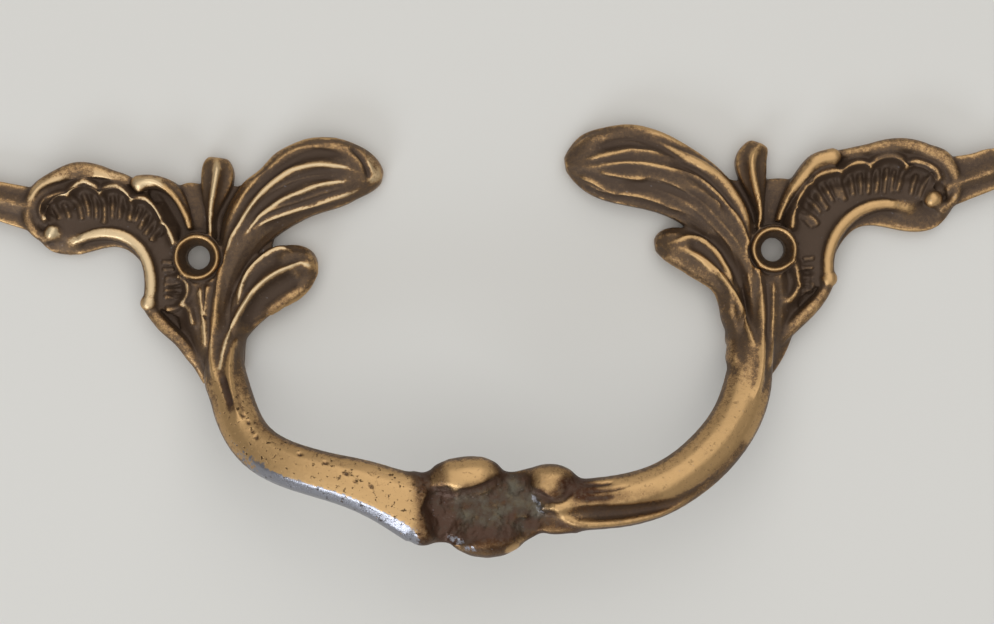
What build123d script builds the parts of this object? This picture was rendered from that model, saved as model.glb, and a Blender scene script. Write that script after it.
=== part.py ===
from build123d import *
import os
from dataclasses import dataclass
from math import cos, pi, sin

# A rococo drawer pull, cast in brass as one piece. Each end is a wing that lies flat on
# the drawer front: a fluted shell between scrolled borders, a bud, two leaves and a stem.
# The two stems rise into a bowed grip with a knotted middle.
# The back lies in the XY plane, +X to the right, +Y up the drawer front and +Z out from it.
# The origin is midway between the screw holes. All lengths are in millimetres.

# Screw fixing
HOLE_SPACING = 96.0
HOLE_DIAMETER = 4.0
SEAT_DIAMETER = 6.6
SEAT_DEPTH = 2.6
BOSS_WALL = 0.8
BOSS_HEIGHT = 6.0

# Heights above the back
GROUND_HEIGHT = 2.2
SHELL_HEIGHT = 3.6
RIM_CREST = 4.6
LOBE_CREST = 5.2
BORDER_CREST = 5.0
HEEL_CREST = 5.0
LEAF_CREST = 6.2
LEAF_EDGE = 3.2
BUD_CREST = 5.2
STEM_CREST = 6.6
TAIL_CREST = 4.4
GRIP_HEIGHT = 20.0

# Widths and diameters
RIM_WIDTH = 2.4
LOBE_WIDTH = 2.2
BORDER_WIDTH = 2.4
HEEL_WIDTH = 2.4
STEM_WIDTH = 11.0
TAIL_WIDTH = 6.8
BEAD_DIAMETER = 3.4
VOLUTE_DIAMETER = 3.0
BULB_DIAMETER = 2.9
FLUTE_WIDTH = 1.6
FLUTE_DEPTH = 0.9
FLUTE_SLOPE = 0.2
BAR_DEPTH = 6.8
BAR_GROOVE = 3.2

# How far a form reaches below the back before it is faced flat
FACING = 1.0
STANDING = (Align.CENTER, Align.CENTER, Align.MIN)

# Shapes that every wing shares: (share along, share of width, share of crest)
RIM_SECTIONS = [(0, 0.6, 0.8), (0.25, 0.95, 0.97), (0.5, 1, 1), (0.75, 0.92, 1), (1, 0.5, 0.8)]
LOBE_SECTIONS = [(0, 1.1, 1), (0.25, 1, 1), (0.5, 0.9, 1), (0.75, 0.7, 0.97), (1, 0.4, 0.9)]
BORDER_SECTIONS = [(0, 0.5, 0.85), (0.25, 0.92, 0.94), (0.5, 1, 1), (0.75, 1, 1), (1, 0.9, 0.9)]
HEEL_SECTIONS = [(0, 0.9, 0.8), (0.33, 1, 1), (0.67, 1, 1), (1, 0.5, 0.5)]
STEM_SECTIONS = [(0, 0.7, 0.8), (0.35, 1, 0.9), (0.65, 0.9, 1), (1, 0.5, 0.4)]
TAIL_SECTIONS = [(0, 1.1, 1), (0.35, 0.95, 1), (0.7, 0.7, 0.8), (1, 0.2, 0.4)]
BUD_RIBS = (-1, 0, 1)
STEM_RIBS = (-1, -0.45, 0.2, 1)
TAIL_RIBS = (-1, -0.1, 1)
SCALLOP_RISE = 0.22
SCROLL_ANGLES = [pi * share for share in (0, 0.28, 0.5, 0.72, 1)]
FLUTE_SHARES = (0.27, 0.73)
FLUTE_TAPER = 0.3
FLUTE_REACH = 0.92
EGG_SHARES = (-0.96, -0.75, -0.4, 0, 0.4, 0.75, 0.96)
EGG_SIDES = 12
BALL_SIDES = 8
BAR_SIDES = 12
GROOVE_SIDE = 4

# The swellings of the knot: (x, y) of the centre, its drop below the grip's height and
# its half length and half width
KNOT = [
    ((0.5, -41.0), 1.6, 14.0, 4.6),
    ((-3.6, -36.7), 0.0, 6.6, 3.9),
    ((9.8, -37.5), 0.0, 4.8, 3.4),
    ((-0.3, -44.9), 0.6, 6.7, 4.5),
    ((-10.6, -43.6), 0.2, 3.4, 3.7),
]


@dataclass
class Wing:
    """One end of the pull. Its points are (outwards, upwards) from its screw hole.

    A leaf has sections of (share along, width, share of crest) and ribs at shares of its
    half width. The bow's points are (share of the way to the screw hole, upwards, share of
    the grip's height) from the middle, and the leg's are as the others with such a share."""

    side: int
    rim: list
    lobe: list
    border: list
    skirt: list
    bead: tuple
    scallops: list
    bud: list
    bud_sections: list
    upper_leaf: list
    upper_sections: list
    upper_ribs: tuple
    lower_leaf: list
    lower_sections: list
    lower_ribs: tuple
    stem: list
    heel: list
    tail: list
    ground: list
    bow: list
    leg: list
    bar_widths: tuple
    groove_run: float

    def at(self, point, height=0.0):
        outwards, upwards = point
        return Vector(self.side * (HOLE_SPACING / 2 + outwards), upwards, height)

    def curve(self, points):
        return Spline(*[self.at(point) for point in points])


LEFT = Wing(
    side=-1,
    rim=[(25.0, 3.2), (28.2, 7.5), (25.4, 13.0), (18.0, 14.9), (10.8, 12.3)],
    lobe=[(9.6, 12.1), (7.4, 12.7), (4.7, 11.8), (2.8, 9.6), (1.2, 4.7)],
    border=[(21.4, 2.2), (15.3, 4.3), (9.6, 1.9), (7.8, -4.3), (8.3, -7.5)],
    skirt=[(26.8, 3.4), (19.5, 0.9), (13.2, 1.9), (8.5, -2.8), (8.2, -7.2)],
    bead=(24.0, 4.4),
    scallops=[
        (25.4, 6.9), (21.7, 10.9), (16.2, 11.1), (10.9, 9.9), (6.0, 6.0),
        (3.4, 1.6), (3.2, -2.6), (2.4, -7.4), (1.1, -11.0),
    ],
    bud=[(-2.3, 3.2), (-2.4, 8.0), (-3.3, 13.0), (-3.6, 16.5)],
    bud_sections=[(0, 1.6, 0.9), (0.4, 2.8, 1), (0.78, 5.4, 1), (1, 2.8, 0.7)],
    upper_leaf=[(-3.6, -12.0), (-5.4, -1.5), (-11.0, 8.0), (-21.0, 13.9), (-30.8, 13.2)],
    upper_sections=[
        (0, 2.4, 0.9), (0.2, 4.2, 1), (0.42, 8.6, 1), (0.66, 12.0, 1), (0.9, 8.2, 0.85), (1, 1.6, 0.5),
    ],
    upper_ribs=(-1, -0.72, -0.32, 0.3, 0.78, 1),
    lower_leaf=[(-5.6, -15.0), (-8.0, -8.5), (-12.2, -4.0), (-19.8, -2.0)],
    lower_sections=[
        (0, 2.0, 0.9), (0.28, 6.4, 1), (0.6, 9.4, 1), (0.9, 7.4, 0.82), (1, 1.6, 0.5),
    ],
    lower_ribs=(-1, -0.8, 0.05, 0.66, 1),
    stem=[(-1.5, -1.0), (-2.0, -9.0), (-4.4, -21.0)],
    heel=[(8.3, -8.2), (5.0, -12.2), (1.4, -16.0), (-1.5, -21.0)],
    tail=[(26.0, 8.0), (32.8, 9.8), (40.0, 12.2), (46.0, 15.2)],
    ground=[
        (6.0, 8.0), (1.6, 12.2), (-4.0, 11.6), (-8.4, 11.8), (-12.6, 5.0), (-10.0, -4.0),
        (-4.0, -17.0), (2.0, -14.0), (7.4, -9.0), (8.2, -2.0),
    ],
    bow=[(0.225, -41.4, 1), (0.312, -39.6, 1), (0.512, -36.2, 0.95), (0.683, -33.8, 0.83)],
    leg=[(-9.2, -29.9, 0.65), (-6.0, -23.7, 0.45), (-4.5, -18.0, 0.27), (-4.2, -11.5, 0.02)],
    bar_widths=(11.4, 9.2, 8.0, 7.7, 7.6, 7.5, 7.4, 7.0, 6.6, 6.0),
    groove_run=0.0,
)

RIGHT = Wing(
    side=1,
    rim=[(27.8, 5.9), (30.9, 9.6), (27.4, 15.3), (20.0, 17.0), (11.2, 15.5)],
    lobe=[(10.2, 14.9), (7.9, 14.3), (5.1, 12.3), (2.5, 8.9), (0.8, 4.7)],
    border=[(23.0, 6.0), (17.0, 7.2), (10.6, 2.8), (9.0, -2.6), (9.2, -5.0)],
    skirt=[(30.4, 6.6), (22.4, 2.8), (14.4, 3.5), (10.5, -1.0), (9.6, -5.0)],
    bead=(26.8, 8.1),
    scallops=[
        (27.4, 10.7), (22.7, 13.6), (16.6, 14.0), (11.7, 12.9), (6.5, 11.0), (4.0, 7.0),
        (3.2, 2.0), (3.3, -2.6), (4.0, -6.0), (2.9, -8.9),
    ],
    bud=[(-2.6, 3.6), (-2.3, 8.3), (-3.4, 13.0), (-2.2, 17.6)],
    bud_sections=[(0, 1.6, 0.9), (0.4, 2.8, 1), (0.78, 5.2, 1), (1, 3.0, 0.7)],
    upper_leaf=[(-3.4, -12.0), (-4.9, -2.0), (-12.6, 9.4), (-23.0, 14.2), (-34.5, 14.8)],
    upper_sections=[
        (0, 2.4, 0.9), (0.2, 5.4, 1), (0.42, 9.8, 1), (0.66, 12.6, 1), (0.9, 11.2, 0.85), (1, 2.2, 0.5),
    ],
    upper_ribs=(-1, -0.58, -0.16, 0.26, 0.7, 1),
    lower_leaf=[(-5.8, -16.0), (-7.4, -8.5), (-11.4, -1.6), (-19.9, 1.0)],
    lower_sections=[
        (0, 2.0, 0.9), (0.28, 5.2, 1), (0.6, 7.0, 1), (0.9, 5.6, 0.82), (1, 1.8, 0.5),
    ],
    lower_ribs=(-1, -0.8, -0.1, 0.6, 1),
    stem=[(-1.5, -1.0), (-1.4, -9.0), (-3.6, -21.0)],
    heel=[(9.2, -5.4), (5.4, -10.6), (1.0, -14.8), (-0.9, -19.6)],
    tail=[(28.6, 10.2), (33.7, 11.8), (42.0, 14.6), (49.0, 18.4)],
    ground=[
        (6.0, 9.0), (1.4, 12.0), (-4.0, 11.4), (-8.4, 11.8), (-13.4, 5.4), (-10.0, -2.0),
        (-4.0, -17.0), (2.6, -14.0), (7.6, -8.0), (8.8, -2.0),
    ],
    bow=[(0.167, -41.3, 1), (0.271, -41.0, 1), (0.44, -40.4, 0.975), (0.602, -38.2, 0.89)],
    leg=[(-12.3, -33.6, 0.74), (-7.3, -27.8, 0.55), (-4.8, -21.6, 0.37), (-3.2, -11.0, 0.02)],
    bar_widths=(7.6, 8.6, 8.6, 8.5, 8.4, 8.4, 8.3, 8.0, 7.2, 6.2),
    groove_run=0.55,
)


def across(spine, share):
    """The plane that cuts a spine square, with its x axis level and its y axis upwards."""
    along = spine % share
    level = Vector(-along.Y, along.X, 0).normalized()
    return Plane(origin=spine @ share, x_dir=level, z_dir=along)


def section(plane, tops):
    """A profile across a form: upright flanks with the given points along its top."""
    feet = [(tops[-1][0], -FACING), (tops[0][0], -FACING)]
    return plane * make_face(Polyline(*tops, *feet, close=True))


def faced(form):
    return split(form, bisect_by=Plane.XY, keep=Keep.TOP)


def leaf(spine, sections, width, crest, ribs):
    """A leaf with crisp ribs and a hollow between each two, shallow where it is narrow."""
    faces = []
    for share, breadth, fall in sections:
        half = width * breadth / 2
        edge = LEAF_EDGE * fall
        tops = []
        for rib in ribs:
            tops.append((rib * half, edge + (crest * fall - edge) * (1 - rib**2)))
        for (x1, z1), (x2, z2) in zip(tops[:], tops[1:]):
            tops.append(((x1 + x2) / 2, (z1 + z2) / 2 - FLUTE_SLOPE * (x2 - x1)))
        faces.append(section(across(spine, share), sorted(tops)))
    return faced(loft(faces))


def scroll(spine, sections, width, crest):
    """A scroll with a rounded top that has a crest along its middle."""
    faces = []
    for share, breadth, fall in sections:
        half = width * breadth / 2
        tops = []
        for angle in SCROLL_ANGLES:
            tops.append((-half * cos(angle), crest * fall - half + half * sin(angle)))
        faces.append(section(across(spine, share), tops))
    return faced(loft(faces))


def swelling(half_length, half_width, sides):
    """An egg about its length, with a small flat at each end."""
    points = []
    for share in EGG_SHARES:
        radius = half_width * (1 - share**2) ** 0.5
        for i in range(sides):
            angle = 2 * pi * i / sides
            points.append((half_length * share, radius * cos(angle), radius * sin(angle)))
    return ConvexPolyhedron(points)


def ball(wing, point, diameter, crest):
    return Pos(*wing.at(point, crest - diameter / 2)) * swelling(diameter / 2, diameter / 2, BALL_SIDES)


def plate(outline, height):
    return extrude(make_face(outline), height)


def scallop_arcs(wing):
    arcs = []
    for start, end in zip(wing.scallops, wing.scallops[1:]):
        run = (end[0] - start[0], end[1] - start[1])
        crown = (
            (start[0] + end[0]) / 2 + run[1] * SCALLOP_RISE,
            (start[1] + end[1]) / 2 - run[0] * SCALLOP_RISE,
        )
        arcs.append(ThreePointArc(wing.at(start), wing.at(crown), wing.at(end)))
    return arcs


def flute(root, lip):
    """A notch that widens from the border to just short of the lip."""
    faces = []
    for point, size in ((root, FLUTE_TAPER), (lip, 1)):
        half, depth = FLUTE_WIDTH / 2 * size, FLUTE_DEPTH * size
        plane = Plane(origin=point, x_dir=Vector(root.Y - lip.Y, lip.X - root.X, 0), z_dir=lip - root)
        outline = [(-2 * half, depth), (0, -depth), (2 * half, depth)]
        faces.append(plane * make_face(Polyline(*outline, close=True)))
    return loft(faces, ruled=True)


def shell(wing):
    """A pad with a scalloped edge and flutes that fan out from the border."""
    border = wing.curve(wing.border)
    arcs = scallop_arcs(wing)
    ends = [Line(arcs[-1] @ 1, border @ 1), Line(border @ 0, arcs[0] @ 0)]
    level = Vector(0, 0, SHELL_HEIGHT)
    flutes = []
    for arc in arcs:
        for share in FLUTE_SHARES:
            root = border.closest_points(Vertex(arc @ share))[0]
            lip = root + (arc @ share - root) * FLUTE_REACH
            flutes.append(flute(root + level, lip + level))
    return plate([*arcs, *ends, border], SHELL_HEIGHT) - flutes


def grounds(wing):
    """The low plates that the shell, the leaves and the stem grow from."""
    rim, lobe, skirt = wing.curve(wing.rim), wing.curve(wing.lobe), wing.curve(wing.skirt)
    joins = [Line(rim @ 1, lobe @ 0), Line(lobe @ 1, skirt @ 1), Line(skirt @ 0, rim @ 0)]
    web = Spline(*[wing.at(point) for point in wing.ground], periodic=True)
    return [plate([rim, lobe, skirt, *joins], GROUND_HEIGHT), plate(web, GROUND_HEIGHT)]


def wing_forms(wing):
    upper_ribs = sorted(-wing.side * share for share in wing.upper_ribs)
    lower_ribs = sorted(-wing.side * share for share in wing.lower_ribs)
    stem_ribs = sorted(-wing.side * share for share in STEM_RIBS)
    boss = Cylinder(SEAT_DIAMETER / 2 + BOSS_WALL, BOSS_HEIGHT, align=STANDING)
    return [
        scroll(wing.curve(wing.rim), RIM_SECTIONS, RIM_WIDTH, RIM_CREST),
        scroll(wing.curve(wing.lobe), LOBE_SECTIONS, LOBE_WIDTH, LOBE_CREST),
        scroll(wing.curve(wing.border), BORDER_SECTIONS, BORDER_WIDTH, BORDER_CREST),
        scroll(wing.curve(wing.heel), HEEL_SECTIONS, HEEL_WIDTH, HEEL_CREST),
        leaf(wing.curve(wing.upper_leaf), wing.upper_sections, 1, LEAF_CREST, upper_ribs),
        leaf(wing.curve(wing.lower_leaf), wing.lower_sections, 1, LEAF_CREST, lower_ribs),
        leaf(wing.curve(wing.bud), wing.bud_sections, 1, BUD_CREST, BUD_RIBS),
        leaf(wing.curve(wing.stem), STEM_SECTIONS, STEM_WIDTH, STEM_CREST, stem_ribs),
        leaf(wing.curve(wing.tail), TAIL_SECTIONS, TAIL_WIDTH, TAIL_CREST, TAIL_RIBS),
        *grounds(wing),
        shell(wing),
        ball(wing, wing.bead, BEAD_DIAMETER, BORDER_CREST),
        ball(wing, wing.border[-1], VOLUTE_DIAMETER, BORDER_CREST),
        ball(wing, wing.lobe[0], BULB_DIAMETER, LOBE_CREST),
        Pos(*wing.at((0, 0))) * boss,
    ]


def bar_section(plane, width, groove):
    """An oval across the bar, with a groove along its outer shoulder."""
    points = []
    for i in range(BAR_SIDES):
        angle = 2 * pi * i / BAR_SIDES
        dip = groove if i == GROOVE_SIDE else 0
        points.append(((width / 2 - dip) * cos(angle), (BAR_DEPTH / 2 - dip) * sin(angle)))
    return plane * make_face(Polyline(*points, close=True))


def bar(wing):
    """Half of the grip, from the knot to the stem, which it meets at the back."""
    reach = wing.side * HOLE_SPACING / 2
    path = [Vector(reach * x, y, GRIP_HEIGHT * level) for x, y, level in wing.bow]
    path += [wing.at((x, y), GRIP_HEIGHT * level) for x, y, level in wing.leg]
    spine = Spline(*path)
    faces = []
    for i, width in enumerate(wing.bar_widths):
        share = i / (len(wing.bar_widths) - 1)
        groove = BAR_GROOVE * max(0, wing.groove_run - share)
        faces.append(bar_section(across(spine, share), width, groove))
    return faced(loft(faces))


def knot():
    """The middle of the grip: a low core with swellings grown together around it."""
    forms = []
    for (x, y), drop, half_length, half_width in KNOT:
        forms.append(Pos(x, y, GRIP_HEIGHT - drop) * swelling(half_length, half_width, EGG_SIDES))
    return forms


def screw_hole(wing):
    """A through hole that opens into a conical seat at the face of its boss."""
    bore = Cylinder(HOLE_DIAMETER / 2, BOSS_HEIGHT, align=STANDING)
    seat = Cone(HOLE_DIAMETER / 2, SEAT_DIAMETER / 2, SEAT_DEPTH, align=STANDING)
    return Pos(*wing.at((0, 0))) * (bore + Pos(0, 0, BOSS_HEIGHT - SEAT_DEPTH) * seat)


def half(wing):
    """A wing with its bar, as one solid with its screw hole."""
    forms = [*wing_forms(wing), bar(wing)]
    whole = forms[0]
    for form in forms[1:]:
        whole = whole.fuse(form)
    return whole - screw_hole(wing)


def main():
    pull = half(LEFT)
    for form in [*knot(), half(RIGHT)]:
        pull = pull.fuse(form)
    os.makedirs("parts", exist_ok=True)
    export_step(pull, "parts/pull.step")


if __name__ == "__main__":
    main()
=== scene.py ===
import bpy
import bmesh
import math
import numpy as np
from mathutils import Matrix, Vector


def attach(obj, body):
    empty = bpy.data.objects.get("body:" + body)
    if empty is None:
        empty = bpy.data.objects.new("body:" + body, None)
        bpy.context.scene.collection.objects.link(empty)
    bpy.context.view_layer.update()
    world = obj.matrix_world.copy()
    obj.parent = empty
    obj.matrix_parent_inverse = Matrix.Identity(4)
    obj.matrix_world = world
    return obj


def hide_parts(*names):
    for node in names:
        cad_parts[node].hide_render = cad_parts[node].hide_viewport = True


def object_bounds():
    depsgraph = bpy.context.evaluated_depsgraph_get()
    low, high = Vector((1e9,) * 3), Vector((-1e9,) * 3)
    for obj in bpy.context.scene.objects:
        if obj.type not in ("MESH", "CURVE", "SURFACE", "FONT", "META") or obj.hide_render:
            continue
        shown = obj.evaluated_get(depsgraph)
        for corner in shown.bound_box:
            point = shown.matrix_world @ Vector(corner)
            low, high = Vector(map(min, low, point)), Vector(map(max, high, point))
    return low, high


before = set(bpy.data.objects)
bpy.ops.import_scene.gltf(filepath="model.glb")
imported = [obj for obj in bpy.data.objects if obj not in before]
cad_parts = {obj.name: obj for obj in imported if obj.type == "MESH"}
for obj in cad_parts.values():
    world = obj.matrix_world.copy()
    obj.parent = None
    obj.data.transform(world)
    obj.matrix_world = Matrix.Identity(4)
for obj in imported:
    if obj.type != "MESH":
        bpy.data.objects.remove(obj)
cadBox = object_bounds()
mm = 0.001
print("stage: frame loaded")


# the casting: a fine skin over the solid, softened as a worn sand casting is; lengths in mm
casting = {
    "grain": 0.22,            # between points of the skin
    "backLevel": 0.02,        # the back below this height stays flat
    "soften": 8,              # passes over the whole skin
    "padLevels": (1.5, 9.0),  # heights that the pads lie between
    "gapReach": (1.4, 0.5),   # the gaps beside the shells: where their fill ends and where it is full
    "gapLevels": (3.8, 2.8),
    "gapFacing": -0.3,
    "gapFill": 0.9,
    "gapPasses": 30,
    "ringPlaces": (-48, 48),  # ring bosses: top, foot, outer edge, and the fall outside their crest
    "ringTop": 6.0,
    "ringFoot": 4.0,
    "ringOuter": 4.4,
    "ringCrest": 3.4,
    "ringSlope": 0.7,
    "ringFall": 2.4,
    "ringDrop": 1.5,
    "barLevels": (8, 11),     # heights where wings turn into bars
    "barPasses": 50,          # passes that take the facets off the bars, and the share of size given back
    "barBack": 0.59,
    "spotFull": 0.4,          # share of a soft spot's reach that is fully rounded
    "triangles": 190000,
}
halfWay, mostWay = 0.5, 0.6   # shares of the way to its neighbours' mean that a point goes in one pass

knotLook = {  # the body between the swellings of the knot, drawn around its edge
    "outline": [(-12.6, -35.1), (-10.4, -35.4), (-8.8, -34.7), (-6.2, -33.5), (-3.0, -33.1),
                (-0.8, -33.6), (1.1, -34.5), (2.6, -35.4), (3.9, -35.5), (6.4, -34.9), (8.3, -34.5),
                (10.6, -34.3), (12.8, -35.0), (14.0, -36.0), (15.0, -36.7), (14.5, -45.6),
                (12.0, -45.4), (10.1, -45.2), (8.2, -45.5), (6.3, -46.5), (4.3, -47.8), (2.4, -48.7),
                (0.5, -49.1), (-1.1, -49.1), (-3.3, -48.5), (-5.1, -47.5), (-7.0, -46.7), (-8.9, -46.8),
                (-10.8, -46.9), (-12.4, -46.6)],
    "field": [(-9.4, -37.8), (-6.9, -37.4), (-4.9, -38.2), (-2.6, -38.9), (-0.1, -38.0), (1.9, -36.4),
              (3.5, -35.6), (5.4, -35.5), (7.2, -36.3), (7.2, -37.9), (8.4, -39.4), (9.5, -40.5),
              (10.1, -42.1), (9.0, -43.7), (7.1, -45.0), (5.0, -46.0), (3.1, -46.0), (0.5, -45.8),
              (-1.8, -46.0), (-3.4, -46.6), (-5.0, -46.9), (-6.9, -46.4), (-8.8, -46.0), (-9.4, -43.1),
              (-9.6, -40.4)],
    "middle": 19.4,           # the widest level, how far the body swells above and below it, its round
    "rise": 2.2,
    "drop": 3.2,
    "round": 2.4,
    "levels": 3,              # rings above and below the middle, and where they would close
    "closing": 3.2,
    "meltPlace": (1, -41.5, 20),  # where the knot melts, how far, and the share of size given back
    "meltSize": (17, 11, 9),
    "meltEdge": (1.1, 0.75),
    "meltPasses": 70,
    "meltBack": 0.5,
    "fieldLevel": 17.0,       # the field lies above this height
    "fieldPasses": 70,        # passes that lay it smooth, how far it then sinks, and how softly it begins
    "sink": 0.8,
    "edgePasses": 70,
    "lumps": 1.2,             # rough cast on the field: height, fineness and look
    "lumpScale": 460.0,
    "lumpDetail": 4,
    "lumpRoughness": 0.6,
}

nudges = [  # small shifts that bring the outline to the real one's: place, reach, shift
    ((-22.2, 9.3), 8.0, (0.2, -0.9)), ((-18.4, 10.8), 4.0, (0.3, -0.4)),
    ((-49.5, 13.3), 4.5, (0.0, 0.5)), ((-59.0, 13.8), 4.0, (0.0, 0.5)),
    ((-72.2, 15.1), 5.0, (0.2, -0.35)), ((-37.8, 15.1), 4.5, (0.6, -0.6)),
    ((-46.1, 16.3), 3.0, (-0.35, 0.45)), ((37.2, -7.8), 5.5, (1.2, 0.8)),
    ((47.1, 17.5), 3.2, (0.7, 0.4)), ((55.2, 15.7), 5.0, (-0.3, 0.7)), ((60.0, 16.9), 5.0, (0.0, 0.4)),
    ((20.5, 20.0), 5.0, (0.1, -0.35)), ((28.6, 1.2), 3.0, (0.3, 0.0)), ((78.1, 15.5), 4.5, (0.1, 0.75)),
    ((83.6, 15.8), 4.5, (0.0, 0.5)), ((-47.0, -20.9), 4.0, (-0.5, 0.0)),
    ((-52.4, -14.9), 4.0, (0.25, 0.25)), ((-18.7, -33.8), 8.0, (0.1, 0.3)),
    ((0.0, -33.2), 5.5, (0.1, 0.3)), ((39.9, -15.5), 2.2, (-0.3, 0.0))]

softSpots = [  # where joins and tips are rounded: place, reach, passes, and the share of size given back
    ((-44.4, 15.8), 3.4, 40, 0.5), ((45.6, 17.2), 3.4, 40, 0.5), ((-44.0, -17.0), 6.0, 40, 0.5),
    ((44.8, -16.0), 6.0, 40, 0.5), ((-39.8, -13.0), 4.0, 110, 0.5), ((40.4, -15.6), 5.0, 200, 0.45),
    ((-50.0, 12.4), 3.2, 40, 0.5), ((49.5, 12.6), 3.2, 40, 0.5), ((-18.2, 13.2), 2.4, 40, 0.5),
    ((-70.0, 2.7), 3.0, 140, 0.0), ((70.8, 6.3), 3.0, 140, 0.0), ((-73.4, 3.4), 2.0, 40, 0.5),
    ((76.6, 6.0), 2.6, 60, 0.2)]

# where the solid's straight ribs are laid smooth before the lines are chased
pads = {  # passes, steepest face, outline
    "upperLeafLeft": (120, 0.3, [
        (-43.8, -0.9), (-42.1, 4.8), (-40.0, 10.1), (-37.0, 14.3), (-33.1, 17.4), (-30.6, 18.9),
        (-26.4, 19.8), (-21.4, 18.4), (-18.2, 15.4), (-17.4, 13.7), (-17.5, 12.1), (-19.9, 10.1),
        (-25.7, 7.9), (-31.6, 6.1), (-34.6, 4.3), (-37.1, 3.7), (-40.0, -0.9), (-41.6, -5.5),
        (-43.9, -7.2)]),
    "lowerLeafLeft": (120, 0.3, [
        (-42.3, -12.2), (-41.6, -7.2), (-40.5, -2.6), (-38.8, 0.1), (-36.1, 2.4), (-33.8, 2.8),
        (-30.3, 0.9), (-28.2, -2.1), (-28.4, -4.4), (-32.6, -7.5), (-37.3, -10.4), (-40.0, -13.2)]),
    "upperLeafRight": (120, 0.3, [
        (44.3, -2.1), (44.0, 3.6), (41.6, 9.9), (37.0, 14.3), (32.6, 17.4), (27.6, 20.2), (23.5, 20.8),
        (18.5, 19.6), (14.4, 17.1), (13.6, 14.8), (15.5, 11.3), (20.0, 8.2), (25.8, 7.0), (30.7, 5.9),
        (33.2, 4.7), (36.5, 2.4), (39.8, -1.3), (42.5, -6.7)]),
    "lowerLeafRight": (120, 0.3, [
        (43.5, -12.5), (41.9, -5.0), (39.3, 0.0), (37.0, 2.0), (34.0, 3.2), (29.5, 2.8), (28.2, 1.3),
        (29.5, -1.2), (33.9, -3.8), (38.0, -7.1), (39.2, -10.8), (39.9, -15.8)]),
    "shellLeft": (110, 0.3, [
        (-74.6, 6.5), (-74.8, 9.0), (-73.2, 11.2), (-70.2, 12.0), (-68.0, 13.6), (-66.2, 13.9),
        (-64.2, 12.6), (-62.2, 13.2), (-60.6, 12.8), (-58.6, 11.2), (-56.2, 11.0), (-54.0, 8.8),
        (-52.6, 6.0), (-51.4, 3.4), (-52.4, 0.0), (-51.2, -2.8), (-49.2, -3.6), (-48.8, -6.0),
        (-49.4, -7.6), (-48.6, -9.0), (-48.2, -11.4), (-50.0, -12.0), (-53.0, -9.5), (-54.6, -7.5),
        (-54.4, -4.0), (-55.2, -0.5), (-56.8, 2.2), (-59.0, 4.4), (-62.0, 5.6), (-65.5, 5.2),
        (-68.0, 4.2), (-70.0, 3.6), (-72.0, 5.5)]),
    "shellRight": (110, 0.3, [
        (76.6, 10.6), (76.2, 13.0), (74.4, 14.6), (71.6, 15.2), (70.2, 15.6), (67.8, 16.3),
        (65.6, 16.0), (63.4, 15.2), (61.4, 15.0), (59.2, 13.9), (56.2, 13.4), (53.8, 12.0), (51.6, 8.6),
        (50.6, 6.0), (50.3, 3.9), (52.3, 0.6), (51.2, -2.6), (51.0, -5.2), (50.4, -7.4), (49.8, -9.4),
        (52.0, -9.4), (55.4, -6.6), (55.6, -2.8), (56.2, 0.6), (57.6, 3.2), (60.2, 6.4), (63.4, 8.2),
        (66.6, 8.7), (70.2, 7.4), (72.6, 7.4), (74.6, 9.0)]),
    "stemLeft": (80, 0.3, [
        (-51.0, -3.6), (-48.5, -4.6), (-46.0, -4.4), (-43.6, -1.0), (-42.6, -6.0), (-42.6, -12.0),
        (-43.6, -17.0), (-45.2, -20.5), (-47.0, -19.5), (-48.6, -15.0), (-49.0, -11.0),
        (-49.6, -7.6)]),
    "stemRight": (80, 0.3, [
        (51.2, -3.4), (48.6, -4.6), (45.9, -4.2), (44.8, -2.2), (44.0, -7.0), (43.8, -13.0),
        (44.0, -18.0), (46.4, -19.0), (48.8, -15.0), (50.2, -9.6), (51.4, -7.0)]),
    "webLeft": (300, 0.05, [
        (-54.6, 12.6), (-53.6, 12.0), (-51.7, 10.3), (-50.2, 7.9), (-49.2, 5.5), (-48.6, 4.6),
        (-47.0, 4.5), (-46.7, 6.0), (-46.9, 9.0), (-47.2, 12.0), (-47.6, 13.8), (-51.0, 14.2),
        (-53.0, 13.8)]),
    "webRight": (300, 0.05, [
        (55.4, 14.6), (53.0, 12.4), (50.4, 8.8), (49.2, 6.2), (48.6, 4.6), (47.2, 4.4), (46.9, 6.0),
        (47.0, 9.0), (47.2, 12.0), (47.6, 13.8), (50.6, 14.6), (53.4, 15.2)]),
}

gapLines = [  # the gaps between rim and shell, filled in part
    [(-73.7, 5.9), (-74.5, 7.2), (-74.7, 9.2), (-73.8, 10.9), (-72.2, 11.7), (-70.2, 12.2),
     (-69.0, 12.8), (-67.4, 13.3), (-65.8, 13.3), (-64.3, 12.6), (-62.6, 12.8), (-60.9, 12.3),
     (-59.4, 11.2), (-57.9, 10.9), (-56.4, 10.5), (-55.0, 9.3), (-53.9, 7.6), (-53.0, 6.0),
     (-52.2, 4.6)],
    [(75.9, 9.4), (76.4, 11.4), (75.6, 13.2), (73.6, 14.5), (71.4, 15.0), (70.0, 15.2), (68.0, 16.0),
     (66.0, 15.8), (64.4, 14.9), (62.8, 14.9), (61.0, 14.5), (59.2, 13.7), (57.2, 13.4), (55.2, 12.8),
     (53.8, 11.7), (52.6, 10.0), (51.6, 8.2), (51.0, 6.2), (50.7, 4.6)]]


def skinOf(node, name):
    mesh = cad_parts[node].data.copy()
    made = bmesh.new()
    made.from_mesh(mesh)
    bmesh.ops.remove_doubles(made, verts=made.verts, dist=1e-6)  # the solid's triangles are loose
    addKnotBody(made)
    made.to_mesh(mesh)
    made.free()
    mesh.materials.clear()
    piece = bpy.data.objects.new(name, mesh)
    bpy.context.scene.collection.objects.link(piece)
    return piece


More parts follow.
